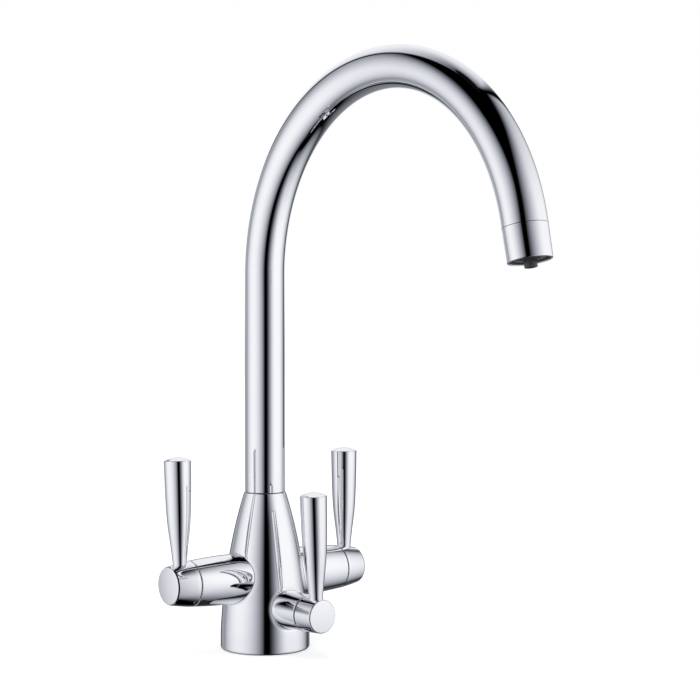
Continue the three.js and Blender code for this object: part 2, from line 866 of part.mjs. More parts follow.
function aeratorHousing() {
  const floor = sleeveStart + aeratorDepth;
  const shell = turned([
    [hubBore, floor],
    [housingRadius, floor],
    [housingRadius, housingFace],
    [housingRadius - aeratorWall, housingFace],
    [housingRadius - aeratorWall, floor + aeratorFloor],
    [housingHub, floor + aeratorFloor],
    [housingHub, housingFace - meshInset],
    [hubBore, housingFace - meshInset],
  ], tubeSides);
  const holes = [];
  const pitch = (housingRadius - aeratorWall + housingHub) / 2;
  for (let hole = 0; hole < aeratorHoles; hole += 1) {
    const angle = (hole / aeratorHoles) * 2 * Math.PI;
    const bore = rod(aeratorHole, floor - cutPast, floor + aeratorFloor + cutPast, wireSides);
    holes.push(bore.translate(pitch * Math.cos(angle), pitch * Math.sin(angle), 0));
  }
  return piece('aerator_housing', cut(shell, holes), darkPlastic);
}

function aeratorMesh() {
  const face = housingFace - meshInset;
  const outer = housingRadius - aeratorWall - rest;
  const mesh = ring(housingHub + rest, outer, face - meshThickness, face, tubeSides);
  return piece('aerator_mesh', mesh, steel);
}

// Spigot: a nipple inside the inner tube, a shoulder, and an outlet that stands out of the nozzle
function filteredSpigot() {
  const nipple = innerTubeRadius - innerTubeWall - slip;
  const shoulder = nippleLength + slip;
  const end = outletRun + spigotStandOut;
  return piece('filtered_water_spigot', turned([
    [nipple - nippleWall, shoulder - nippleLength],
    [nipple, shoulder - nippleLength],
    [nipple, shoulder],
    [spigotRadius, shoulder],
    ...roundEdge(spigotRadius - nozzleLip, end - nozzleLip, nozzleLip, 0, 1),
    [spigotBore, end],
    [spigotBore, shoulder + nippleLength],
    [nipple - nippleWall, shoulder + nippleLength],
  ], tubeSides), darkPlastic);
}

function nozzle() {
  const group = frameAlong(outletDirection, bendEnd, new THREE.Vector3(0, 1, 0));
  group.add(nozzleSleeve());
  group.add(aeratorHousing());
  group.add(aeratorMesh());
  group.add(filteredSpigot());
  return group;
}

// ---- Assembly ----

const tap = new THREE.Group();
tap.name = 'three_way_filtered_water_tap';
tap.add(bodyCasting());
tap.add(baseGasket());
tap.add(underDeck());
for (const valve of valves) {
  tap.add(valveGroup(valve));
}
tap.add(...innerSeal());
tap.add(bearingRing());
tap.add(lockScrew());
tap.add(collarRing());
tap.add(spoutStem());
tap.add(...stemRings());
tap.add(spoutTube());
tap.add(filteredTube());
tap.add(nozzle());

export default tap;
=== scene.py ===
import math

import bmesh
import bpy
from mathutils import Matrix, Vector
from mathutils.geometry import interpolate_bezier, intersect_point_line


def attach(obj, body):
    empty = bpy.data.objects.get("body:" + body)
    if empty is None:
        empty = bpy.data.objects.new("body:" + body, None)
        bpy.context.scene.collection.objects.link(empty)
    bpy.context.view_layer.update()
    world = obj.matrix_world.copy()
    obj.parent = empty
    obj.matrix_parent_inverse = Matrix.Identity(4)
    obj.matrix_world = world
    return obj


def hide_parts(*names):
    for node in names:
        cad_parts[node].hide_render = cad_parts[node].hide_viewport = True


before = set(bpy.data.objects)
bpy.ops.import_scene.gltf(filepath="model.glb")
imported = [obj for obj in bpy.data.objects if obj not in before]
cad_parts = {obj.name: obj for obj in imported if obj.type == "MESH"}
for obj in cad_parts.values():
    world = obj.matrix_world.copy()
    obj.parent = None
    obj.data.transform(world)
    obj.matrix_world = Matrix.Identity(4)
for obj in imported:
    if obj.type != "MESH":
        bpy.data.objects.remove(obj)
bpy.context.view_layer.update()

scene = bpy.context.scene

# Camera: stands about a metre from the tap, a little left of its front and at half its height,
# looking almost level, as the product photograph was taken.
camera_turn = 0.67542
camera_dip = 0.02008
lens = bpy.data.cameras.new("camera")
lens.sensor_width = 36
lens.lens = 86.92
lens.clip_start = 0.05
camera = bpy.data.objects.new("camera", lens)
camera.location = (-0.61502, -0.85226, 0.20659)
camera.rotation_euler = (math.pi / 2 - camera_dip, 0, -camera_turn)
scene.collection.objects.link(camera)
scene.camera = camera

# Body: one brass casting with a bell, two side arms and a low front arm, ground, polished
# and chrome plated. It stands on its foot and carries the three valves and the spout.
foot_radius, foot_face, foot_edge = 0.02765, 0.0003, 0.0017
hollow_radius, ceiling_height = 0.02115, 0.0083
groove_inner, groove_outer, groove_top = 0.0221, 0.0253, 0.00165
flank_top = 0.0083
lower_pull = Vector((foot_radius, 0, 0.0211))
upper_pull = Vector((0.0244, 0, 0.0608))
neck_radius, neck_top, neck_edge = 0.01295, 0.0973, 0.0005
socket_radius, socket_floor = 0.0111, 0.0653
mixing_radius, mixing_floor = 0.008, 0.0501
seal_radius, seal_floor = 0.0054, 0.0401
way_radius, way_floor = 0.0024, 0.0313
turned_steps = 160


def texture_group(name, inputs, outputs):
    """An empty shader node group with named inputs and outputs."""
    group = bpy.data.node_groups.new(name, "ShaderNodeTree")
    for label, kind, value in inputs:
        socket = group.interface.new_socket(label, in_out="INPUT", socket_type=kind)
        if value is not None:
            socket.default_value = value
    for label, kind in outputs:
        group.interface.new_socket(label, in_out="OUTPUT", socket_type=kind)
    start = group.nodes.new("NodeGroupInput")
    end = group.nodes.new("NodeGroupOutput")
    return group, start, end


def polish_haze():
    """Faint cloudy haze and hair-fine polishing lines, as roughness, height and tint over the surface."""
    group, start, end = texture_group(
        "polish_haze",
        [("Vector", "NodeSocketVector", None), ("Scale", "NodeSocketFloat", 1.0),
         ("Clean", "NodeSocketFloat", 0.03), ("Hazy", "NodeSocketFloat", 0.06)],
        [("Roughness", "NodeSocketFloat"), ("Height", "NodeSocketFloat"), ("Tint", "NodeSocketFloat")],
    )
    node, link = group.nodes.new, group.links.new
    sized = node("ShaderNodeVectorMath")
    sized.operation = "SCALE"
    link(start.outputs["Vector"], sized.inputs[0])
    link(start.outputs["Scale"], sized.inputs["Scale"])
    cloud = node("ShaderNodeTexNoise")
    cloud.inputs["Scale"].default_value = 45
    cloud.inputs["Detail"].default_value = 5
    cloud.inputs["Roughness"].default_value = 0.55
    link(sized.outputs["Vector"], cloud.inputs["Vector"])
    lines = node("ShaderNodeTexNoise")
    lines.inputs["Scale"].default_value = 2600
    lines.inputs["Detail"].default_value = 2
    link(sized.outputs["Vector"], lines.inputs["Vector"])
    spread = node("ShaderNodeMapRange")
    spread.interpolation_type = "SMOOTHSTEP"
    spread.inputs["From Min"].default_value = 0.38
    spread.inputs["From Max"].default_value = 0.72
    link(cloud.outputs["Fac"], spread.inputs["Value"])
    link(start.outputs["Clean"], spread.inputs["To Min"])
    link(start.outputs["Hazy"], spread.inputs["To Max"])
    link(spread.outputs["Result"], end.inputs["Roughness"])
    link(lines.outputs["Fac"], end.inputs["Height"])
    link(cloud.outputs["Fac"], end.inputs["Tint"])
    return group


haze_group = polish_haze()


def finished(name, dull, bright, clean, hazy, scale, depth, metallic=1, grain=0.3):
    """A metal, or another material, whose colour, polish and grain vary a little over its surface."""
    material = bpy.data.materials.new(name)
    material.use_nodes = True
    tree = material.node_tree
    node, link = tree.nodes.new, tree.links.new
    shader = tree.nodes["Principled BSDF"]
    shader.inputs["Metallic"].default_value = metallic
    place = node("ShaderNodeTexCoord")
    haze = node("ShaderNodeGroup")
    haze.node_tree = haze_group
    haze.inputs["Scale"].default_value = scale
    haze.inputs["Clean"].default_value = clean
    haze.inputs["Hazy"].default_value = hazy
    link(place.outputs["Object"], haze.inputs["Vector"])
    tint = node("ShaderNodeMix")
    tint.data_type = "RGBA"
    tint.inputs["A"].default_value = (*dull, 1)
    tint.inputs["B"].default_value = (*bright, 1)
    link(haze.outputs["Tint"], tint.inputs["Factor"])
    link(tint.outputs["Result"], shader.inputs["Base Color"])
    link(haze.outputs["Roughness"], shader.inputs["Roughness"])
    bump = node("ShaderNodeBump")
    bump.inputs["Strength"].default_value = grain
    bump.inputs["Distance"].default_value = depth
    link(haze.outputs["Height"], bump.inputs["Height"])
    link(bump.outputs["Normal"], shader.inputs["Normal"])
    return material


chrome = finished("chrome_plate", (0.90, 0.905, 0.93), (0.95, 0.955, 0.965), 0.02, 0.045, 1.0, 2e-7)


def lathe(outline, steps=turned_steps):
    """Turns an outline of (radius, height) points about the upright axis."""
    bm = bmesh.new()
    points = [bm.verts.new((radius, 0, height)) for radius, height in outline]
    for pair in zip(points, points[1:]):
        bm.edges.new(pair)
    bmesh.ops.spin(
        bm, geom=bm.verts[:] + bm.edges[:], cent=(0, 0, 0), axis=(0, 0, 1), dvec=(0, 0, 0),
        angle=2 * math.pi, steps=steps, use_merge=True, use_normal_flip=False, use_duplicate=False,
    )
    bmesh.ops.remove_doubles(bm, verts=bm.verts, dist=1e-7)
    bmesh.ops.recalc_face_normals(bm, faces=bm.faces)
    return bm


def round_rings(bm, rings, segments=5):
    """Rounds the turned edges at the given (radius, height, size)."""
    for radius, height, size in rings:
        edges = [
            edge for edge in bm.edges
            if all(abs(v.co.z - height) < 2e-6 and abs(v.co.xy.length - radius) < 2e-6 for v in edge.verts)
        ]
        bmesh.ops.bevel(
            bm, geom=edges, offset=size, offset_type="OFFSET", segments=segments,
            profile=0.5, affect="EDGES", clamp_overlap=False, material=-1,
        )


def set_down(bm, name, material, body, nodes):
    """Makes the finished piece, smooth across its faces and crisp at its corners."""
    bmesh.ops.remove_doubles(bm, verts=bm.verts, dist=1e-7)
    mesh = bpy.data.meshes.new(name)
    bm.to_mesh(mesh)
    bm.free()
    mesh.shade_smooth()
    mesh.set_sharp_from_angle(angle=math.radians(38))
    mesh.materials.append(material)
    piece = bpy.data.objects.new(name, mesh)
    scene.collection.objects.link(piece)
    even = piece.modifiers.new("even_shading", "WEIGHTED_NORMAL")
    even.keep_sharp = True
    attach(piece, body)
    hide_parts(*nodes)
    return piece


def join_in(bm, other):
    """Adds the mesh of another part of the same piece."""
    mesh = bpy.data.meshes.new("part")
    other.to_mesh(mesh)
    other.free()
    bm.from_mesh(mesh)
    bpy.data.meshes.remove(mesh)


bell = [
    (point.x, point.z) for point in interpolate_bezier(
        Vector((foot_radius, 0, flank_top)), lower_pull, upper_pull, Vector((neck_radius, 0, neck_top)), 72,
    )
]
casting = lathe([
    (hollow_radius, ceiling_height), (hollow_radius, foot_face), (groove_inner, foot_face),
    (groove_inner, groove_top), (groove_outer, groove_top), (groove_outer, foot_face),
    (foot_radius, foot_face), *bell, (socket_radius, neck_top), (socket_radius, socket_floor),
    (mixing_radius, socket_floor), (mixing_radius, mixing_floor), (seal_radius, mixing_floor),
    (seal_radius, seal_floor), (way_radius, seal_floor), (way_radius, way_floor), (0, way_floor),
])
round_rings(casting, [(foot_radius, foot_face, foot_edge)], 8)
round_rings(casting, [(neck_radius, neck_top, neck_edge), (socket_radius, neck_top, 0.0004)], 4)
round_rings(casting, [(hollow_radius, foot_face, 0.0003), (groove_outer, foot_face, 0.0002)], 2)

# Underside of the body: the ceiling of the hollow foot, with three threaded bosses for the
# hoses and a drilled and tapped boss for the fixing stud, all cast in one with the body.
hose_pitch, hose_bore = 0.012, 0.0046
stud_offset, stud_bore = 0.013, 0.0042
boss_wall, boss_height, boss_edge = 0.0019, 0.006, 0.0003
mouth_bevel, thread_depth = 0.0006, 0.012
ceiling = bmesh.new()
bmesh.ops.create_circle(ceiling, cap_ends=False, segments=turned_steps, radius=hollow_radius)
bosses = []
for x, y, bore in (
    (-hose_pitch, 0, hose_bore), (hose_pitch, 0, hose_bore), (0, -hose_pitch, hose_bore),
    (0, stud_offset, stud_bore),
):
    place = Matrix.Translation((x, y, 0))
    made = bmesh.ops.create_circle(ceiling, cap_ends=False, segments=48, radius=bore + boss_wall, matrix=place)
    rim = list({edge for vert in made["verts"] for edge in vert.link_edges})
    bosses.append((rim, place, bore))
bmesh.ops.triangle_fill(ceiling, use_beauty=True, use_dissolve=False, edges=ceiling.edges[:])


def pull(bm, rim, shift, size=1.0, centre=Matrix()):
    """Draws a ring of edges on by a shift, and opens or closes it by a factor about a centre."""
    made = bmesh.ops.extrude_edge_only(bm, edges=rim)["geom"]
    verts = [part for part in made if isinstance(part, bmesh.types.BMVert)]
    edges = [part for part in made if isinstance(part, bmesh.types.BMEdge)]
    if size != 1:
        bmesh.ops.scale(bm, vec=(size, size, 1), space=centre.inverted(), verts=verts)
    bmesh.ops.translate(bm, vec=shift, verts=verts)
    return [edge for edge in edges if all(vert in verts for vert in edge.verts)]


for rim, place, bore in bosses:
    outer, face, mouth = bore + boss_wall, bore + boss_wall - boss_edge, bore + mouth_bevel
    rim = pull(ceiling, rim, (0, 0, boss_edge - boss_height))
    rim = pull(ceiling, rim, (0, 0, -boss_edge), face / outer, place)
    rim = pull(ceiling, rim, (0, 0, 0), mouth / face, place)
    rim = pull(ceiling, rim, (0, 0, mouth_bevel), bore / mouth, place)
    rim = pull(ceiling, rim, (0, 0, thread_depth - mouth_bevel))
    bmesh.ops.edgeloop_fill(ceiling, edges=rim)
bmesh.ops.translate(ceiling, vec=(0, 0, ceiling_height), verts=ceiling.verts)
bmesh.ops.recalc_face_normals(ceiling, faces=ceiling.faces)
level = min(ceiling.faces, key=lambda face: abs(face.calc_center_median().z - ceiling_height))
if level.normal.z > 0:
    bmesh.ops.reverse_faces(ceiling, faces=ceiling.faces)
join_in(casting, ceiling)

# Arms of the body: a barrel for each valve, blended into the bell with a small fillet that was
# left from the casting and polished. Each ends in a faced ring at its valve's seam.
fillet = 0.0008
fillet_steps = 10
skirt_length, skirt_depth, lap_depth = 0.0003, 8e-6, 6e-6
bell_line = [(foot_radius, foot_face), *bell]
hub_roll = 0.0032
side_arm = dict(
    height=0.0454, reach=0.0719, root=0.01525, narrow_from=0.024, power=2, seam_radius=0.01375,
    end_radius=0.01125, hub=0.016, roll_slope=0.05, bow=5, gap=0.0006, bore=0.009,
    lever_back=0.0092, cap_rim=0.001, rim_slope=0.5, cap_edge=0.0003,
)
arms = {
    "hot": dict(side_arm, direction=(-1, 0, 0), lean=math.radians(2.2)),
    "cold": dict(side_arm, direction=(1, 0, 0), lean=0),
    "filter": dict(
        height=0.0273, reach=0.0591, root=0.012, narrow_from=0.022, power=1, seam_radius=0.01075,
        end_radius=0.01005, hub=0.015, roll_slope=0.047, bow=0, gap=0.001, bore=0.0074,
        lever_back=0.00665, cap_rim=0.0006, rim_slope=0, cap_edge=0.0009,
        direction=(0, -1, 0), lean=math.radians(1.9),
    ),
}


def arm_radius(arm, distance):
    """Radius of the arm, or of the hub beyond its seam, at a distance from the tap's middle."""
    seam = arm["reach"] - arm["hub"]
    if distance > seam:
        # The hub rolls over from the arm's line to its own taper, which grows a little to its end
        past, slope = distance - seam, arm["roll_slope"]
        rounding = arm["bow"] * (arm["hub"] - hub_roll) ** 2 / 2
        drop = arm["seam_radius"] - arm["end_radius"] - slope * hub_roll / 2 - rounding
        taper = drop / (arm["hub"] - hub_roll / 2)
        rolled = min(past, hub_roll)
        return arm["seam_radius"] - (
            slope * rolled + (taper - slope) * rolled ** 2 / hub_roll / 2
            + taper * (past - rolled) + arm["bow"] * (past - rolled) ** 2 / 2
        )
    share = max(0, (distance - arm["narrow_from"]) / (seam - arm["narrow_from"]))
    return arm["root"] + (arm["seam_radius"] - arm["root"]) * share ** arm["power"]


def along(direction, height):
    """Places local Z along an arm, with local Y upright."""
    out = Vector(direction)
    side = Vector((0, 0, 1)).cross(out)
    turn = Matrix((side, out.cross(side), out)).transposed().to_4x4()
    return Matrix.Translation((0, 0, height)) @ turn


def nearest_on_bell(point):
    """The closest point of the bell's surface, and how far outside it the point is."""
    flat = Vector((point.xy.length, point.z))
    best = None
    for a, b in zip(bell_line, bell_line[1:]):
        a, b = Vector(a), Vector(b)
        spot, share = intersect_point_line(flat, a, b)
        spot = a.lerp(b, min(1, max(0, share)))
        gap = (flat - spot.xy).length
        if best is None or gap < best[0]:
            outside = (b - a).cross(flat - a) < 0
            best = (gap, spot.xy, 1 if outside else -1)
    around = point.xy.normalized()
    return Vector((around.x * best[1].x, around.y * best[1].x, best[1].y)), best[0] * best[2]


def fillet_arc(arm, place, angle):
    """Points across the fillet at one angle round the arm, from the bell to the arm."""
    spoke = Vector((math.cos(angle), math.sin(angle), 0))
    nudge = 1e-5

    def ball(distance):
        """Middle of a ball that rests on the arm, and the way from it to the arm."""
        fall = arm_radius(arm, distance - nudge) - arm_radius(arm, distance + nudge)
        slope = math.atan(fall / (2 * nudge))
        normal = spoke * math.cos(slope) + Vector((0, 0, 1)) * math.sin(slope)
        surface = spoke * arm_radius(arm, distance) + Vector((0, 0, distance))
        return place @ (surface + normal * fillet), -(place.to_3x3() @ normal)

    # Halving the range finds where the ball rests on both the arm and the bell
    near, far = 0.008, 0.04
    for _ in range(26):
        middle = (near + far) / 2
        if nearest_on_bell(ball(middle)[0])[1] > fillet:
            far = middle
        else:
            near = middle
    centre, to_arm = ball(near)
    spot = nearest_on_bell(centre)[0]
    to_bell = (spot - centre).normalized()
    bend = to_bell.angle(to_arm)
    arc = [
        centre + fillet * (math.sin((1 - t) * bend) * to_bell + math.sin(t * bend) * to_arm) / math.sin(bend)
        for t in (step / fillet_steps for step in range(fillet_steps + 1))
    ]
    tangent = (arc[0] - arc[1]).normalized()
    lift = (spot - nearest_on_bell(spot + tangent * fillet / 2)[0]).normalized()
    skirt = nearest_on_bell(spot - lift * skirt_length)[0]
    return [spot - to_bell * lap_depth, skirt - to_bell * skirt_depth], arc


root_disc = 0.006
bore_floor = 0.0205
clear_of_fillet = 0.03
mark = 0.001
arm_steps = 144
for arm in arms.values():
    # The fillet's rings are turned at marked heights below zero, then moved to their places
    place = along(arm["direction"], arm["height"])
    face = arm["reach"] - arm["hub"] - arm["gap"] / 2
    swell = [clear_of_fillet + (face - clear_of_fillet) * step / 12 for step in range(13)]
    barrel = lathe([
        (0, root_disc), (root_disc, root_disc),
        *[(arm["root"], -step * mark) for step in range(fillet_steps + 3, 0, -1)],
        *[(arm_radius(arm, distance), distance) for distance in swell],
        (arm["bore"], face), (arm["bore"], bore_floor), (0, bore_floor),
    ], arm_steps)
    round_rings(barrel, [(arm_radius(arm, face), face, 0.0004), (arm["bore"], face, 0.0002)], 4)
    across = {}
    for vert in barrel.verts:
        if vert.co.z > -mark / 2:
            continue
        angle = round(math.atan2(vert.co.y, vert.co.x), 5)
        if angle not in across:
            (lap, skirt), arc = fillet_arc(arm, place, angle)
            across[angle] = [*arc[:0:-1], lap, skirt]
        step = round(-vert.co.z / mark) - 1
        vert.co = place.inverted() @ across[angle][min(step, fillet_steps + 1)]
    bmesh.ops.transform(barrel, matrix=place, verts=barrel.verts)
    bmesh.ops.recalc_face_normals(barrel, faces=barrel.faces)
    join_in(casting, barrel)


def maths(tree, operation, *values):
    """A maths node with its inputs linked or set, and its output."""
    made = tree.nodes.new("ShaderNodeMath")
    made.operation = operation
    for socket, value in zip(made.inputs, values):
        if isinstance(value, bpy.types.NodeSocket):
            tree.links.new(value, socket)
        else:
            socket.default_value = value
    return made.outputs["Value"]


def rounding_in(dips, width):
    """Height of the bell's skin, which the polishing wheel rounds in a little beside each arm."""
    group, start, end = texture_group(
        "rounding_in", [("Vector", "NodeSocketVector", None)], [("Height", "NodeSocketFloat")],
    )
    split = group.nodes.new("ShaderNodeSeparateXYZ")
    group.links.new(start.outputs["Vector"], split.inputs["Vector"])
    height = 0.0
    for axis, arm, depth in dips:
        aside = split.outputs[axis]
        rise = maths(group, "SUBTRACT", split.outputs["Z"], arm["height"])
        square = maths(group, "MULTIPLY_ADD", aside, aside, maths(group, "MULTIPLY", rise, rise))
        away = maths(group, "SUBTRACT", maths(group, "SQRT", square), arm["root"])
        share = maths(group, "MAXIMUM", maths(group, "DIVIDE", away, width), 0.0)
        share = maths(group, "SUBTRACT", 1.0, maths(group, "MINIMUM", share, 1.0))
        dip = maths(group, "MULTIPLY", maths(group, "MULTIPLY", share, share), -depth)
        if axis == "X":
            dip = maths(group, "MULTIPLY", dip, maths(group, "LESS_THAN", split.outputs["Y"], 0.0))
        height = maths(group, "MINIMUM", height, dip)
    group.links.new(height, end.inputs["Height"])
    return group


side_dip, front_dip, dip_width = 0.00015, 0.0003, 0.0025
cast_chrome = chrome.copy()
cast_chrome.name = "cast_chrome_plate"
tree = cast_chrome.node_tree
skin = tree.nodes.new("ShaderNodeGroup")
skin.node_tree = rounding_in([("Y", arms["hot"], side_dip), ("X", arms["filter"], front_dip)], dip_width)
place = next(n for n in tree.nodes if n.type == "TEX_COORD")
tree.links.new(place.outputs["Object"], skin.inputs["Vector"])
bump = next(n for n in tree.nodes if n.type == "BUMP")
dent = tree.nodes.new("ShaderNodeBump")
dent.inputs["Strength"].default_value = 1
dent.inputs["Distance"].default_value = 1
tree.links.new(skin.outputs["Height"], dent.inputs["Height"])
tree.links.new(bump.outputs["Normal"], dent.inputs["Normal"])
tree.links.new(dent.outputs["Normal"], tree.nodes["Principled BSDF"].inputs["Normal"])
set_down(casting, "body", cast_chrome, "tap_body", ["body_casting"])

# Spout: a brass tube bent to a swan neck, polished and plated, open at both ends. It turns on
# the body's neck, and the nozzle plugs into its far end.
spout_radius, tube_wall, tube_bevel = 0.0123, 0.0012, 0.0001
riser_foot, riser_top = 0.0976, 0.232
bend_radius, bend_angle = 0.1152, math.radians(167.7)
tube_end, end_taper = 0.00375, 0.996
riser_steps, bend_steps = 16, 176
outlet = Vector((0, -math.sin(bend_angle), math.cos(bend_angle)))
bend_centre = Vector((0, -bend_radius, riser_top))
bend_end = bend_centre + bend_radius * Vector((0, math.cos(bend_angle), math.sin(bend_angle)))
tube = bmesh.new()
bmesh.ops.create_circle(tube, cap_ends=False, segments=turned_steps, radius=spout_radius - tube_bevel,
                        matrix=Matrix.Translation((0, 0, riser_foot)))
rim = pull(tube, tube.edges[:], (0, 0, tube_bevel), spout_radius / (spout_radius - tube_bevel))
for _ in range(riser_steps):
    rim = pull(tube, rim, (0, 0, (riser_top - riser_foot - tube_bevel) / riser_steps))
ring = rim + list({vert for edge in rim for vert in edge.verts})
made = bmesh.ops.spin(
    tube, geom=ring, cent=bend_centre, axis=(1, 0, 0), dvec=(0, 0, 0),
    angle=bend_angle, steps=bend_steps, use_merge=False, use_normal_flip=False, use_duplicate=False,
)
rim = [part for part in made["geom_last"] if isinstance(part, bmesh.types.BMEdge)]
for length in ((tube_end - tube_bevel) / 2, (tube_end - tube_bevel) / 2, tube_bevel):
    rim = pull(tube, rim, outlet * length)
end_verts = list({vert for edge in rim for vert in edge.verts})
end_centre = bend_end + outlet * tube_end
bmesh.ops.scale(tube, vec=(end_taper,) * 3, space=Matrix.Translation(-end_centre), verts=end_verts)
bmesh.ops.recalc_face_normals(tube, faces=tube.faces)
spout = set_down(tube, "spout", chrome, "spout", ["spout_tube"])
wall = spout.modifiers.new("tube_wall", "SOLIDIFY")
wall.thickness = tube_wall
wall.offset = -1
spout.modifiers.move(1, 0)

# Collar ring: a thin dark ring of nylon between the body's neck and the tube, so that the
# spout turns without scraping the plating.
collar_radius = 0.01225


def moulded(name, dark, light, rough, scale, depth):
    """A moulded material with a fine grain and slightly uneven colour."""
    return finished(name, dark, light, rough * 0.8, rough * 1.2, scale, depth, metallic=0, grain=0.5)


dark_plastic = moulded("dark_plastic", (0.028, 0.028, 0.032), (0.05, 0.05, 0.055), 0.45, 1.0, 2e-5)
collar = lathe([
    (socket_radius, neck_top), (collar_radius, neck_top), (collar_radius, riser_foot),
    (socket_radius, riser_foot), (socket_radius, neck_top),
])
set_down(collar, "collar_ring", dark_plastic, "spout", ["spout_collar_ring"])

# Grub screw at the back of the neck: zinc plated steel with a hexagon socket. Its tip rides in
# a groove of the stem and keeps the spout in.
screw_height, screw_tip, screw_end = 0.0913, 0.0096, 0.01355
screw_radius, screw_bevel = 0.002, 0.0002
tip_radius, tip_length = 0.0013, 0.0006
key_radius, key_depth = 0.0012, 0.002
steel = finished("zinc_plated_steel", (0.50, 0.51, 0.53), (0.62, 0.63, 0.65), 0.22, 0.34, 1.6, 4e-6)
screw = bmesh.new()
bmesh.ops.create_circle(screw, cap_ends=True, segments=6, radius=key_radius)
hexagon = pull(screw, screw.edges[:], (0, 0, key_depth))
made = bmesh.ops.create_circle(screw, cap_ends=False, segments=48, radius=screw_radius - screw_bevel,
                               matrix=Matrix.Translation((0, 0, key_depth)))
rim = list({edge for vert in made["verts"] for edge in vert.link_edges})
bmesh.ops.triangle_fill(screw, use_beauty=True, use_dissolve=False, edges=hexagon + rim)
rim = pull(screw, rim, (0, 0, -screw_bevel), screw_radius / (screw_radius - screw_bevel))
rim = pull(screw, rim, (0, 0, screw_bevel + tip_length - (screw_end - screw_tip)))
rim = pull(screw, rim, (0, 0, -tip_length), tip_radius / screw_radius)
bmesh.ops.edgeloop_fill(screw, edges=rim)
bmesh.ops.recalc_face_normals(screw, faces=screw.faces)
place = along((0, 1, 0), screw_height) @ Matrix.Translation((0, 0, screw_end - key_depth))
bmesh.ops.transform(screw, matrix=place, verts=screw.verts)
set_down(screw, "grub_screw", steel, "tap_body", ["spout_lock_screw"])

# Nozzle: a turned and plated sleeve that plugs into the end of the spout, with a thin lip
# round the recessed outlet. The heights of its pieces are measured from the end of the bend.
nozzle_seam, nozzle_end = 0.00395, 0.0221
nozzle_radius, lip_bore = 0.012, 0.0107
plug_start, plug_radius, plug_bore = -0.00215, 0.0108, 0.0095
aerator_seat = 0.00525
side = Vector((0, 1, 0)).cross(outlet).normalized()
turn = Matrix((side, outlet.cross(side), outlet)).transposed().to_4x4()
nozzle_place = Matrix.Translation(bend_end) @ turn
sleeve = lathe([
    (plug_bore, plug_start), (plug_radius, plug_start), (plug_radius, nozzle_seam),
    (spout_radius, nozzle_seam), (nozzle_radius, nozzle_end), (lip_bore, nozzle_end),
    (lip_bore, aerator_seat), (plug_bore, aerator_seat), (plug_bore, plug_start),
])
round_rings(sleeve, [(spout_radius, nozzle_seam, 0.00006)], 2)
round_rings(sleeve, [(nozzle_radius, nozzle_end, 0.0004), (lip_bore, nozzle_end, 0.0003)], 4)
bmesh.ops.transform(sleeve, matrix=nozzle_place, verts=sleeve.verts)
set_down(sleeve, "nozzle", chrome, "spout", ["nozzle_sleeve"])

# Aerator: a moulded cup in the nozzle, and a woven steel mesh across its mouth, a millimetre
# or so inside the lip. Two pressed hoops hold the mesh, round its rim and round the spigot.
cup_radius, cup_bore = 0.0104, 0.0094
guide_radius, guide_bore = 0.0048, 0.0038
cup_back, cup_floor, cup_mouth, guide_end = 0.00685, 0.00835, 0.0217, 0.0211
cup = lathe([
    (guide_bore, cup_back), (cup_radius, cup_back), (cup_radius, cup_mouth), (cup_bore, cup_mouth),
    (cup_bore, cup_floor), (guide_radius, cup_floor), (guide_radius, guide_end), (guide_bore, guide_end),
    (guide_bore, cup_back),
], 96)
round_rings(cup, [
    (cup_radius, cup_mouth, 0.0002), (cup_bore, cup_mouth, 0.0003), (guide_radius, guide_end, 0.0002),
], 2)
bmesh.ops.transform(cup, matrix=nozzle_place, verts=cup.verts)
set_down(cup, "aerator_cup", dark_plastic, "spout", ["aerator_housing"])
# The mesh's colour is darkened far below bare steel's, as painted shade of the recess inside the nozzle.
mesh_steel = finished("woven_mesh_steel", (0.12, 0.12, 0.13), (0.20, 0.20, 0.22), 0.3, 0.42, 2.0, 1e-6)
mesh_threads, mesh_half, mesh_wire = 34, 0.0095, 0.00018
mesh_height, mesh_wave, hoop_half = 0.0209, 0.00006, 0.0002
mesh_inner, mesh_outer = 0.0052, 0.009
mesh_pitch = 2 * mesh_half / mesh_threads
weave = bmesh.new()
bmesh.ops.create_grid(weave, x_segments=mesh_threads, y_segments=mesh_threads, size=mesh_half)
loose = [
    face for face in weave.faces if not mesh_inner < face.calc_center_median().xy.length < mesh_outer
]
bmesh.ops.delete(weave, geom=loose, context="FACES")
for vert in weave.verts:
    over = (round(vert.co.x / mesh_pitch) + round(vert.co.y / mesh_pitch)) % 2
    vert.co.z = mesh_height + (mesh_wave if over else -mesh_wave)
bmesh.ops.wireframe(weave, faces=weave.faces[:], thickness=mesh_wire, offset=0, use_replace=True,
                    use_boundary=True, use_even_offset=True, use_crease=False, crease_weight=0,
                    use_relative_offset=False, material_offset=0)
low, top = mesh_height - hoop_half, mesh_height + hoop_half
for inner, outer in ((0.00495, 0.0054), (0.0088, 0.00925)):
    join_in(weave, lathe([(inner, low), (outer, low), (outer, top), (inner, top), (inner, low)], 96))
bmesh.ops.transform(weave, matrix=nozzle_place, verts=weave.verts)
set_down(weave, "outlet_weave", mesh_steel, "spout", ["aerator_mesh"])

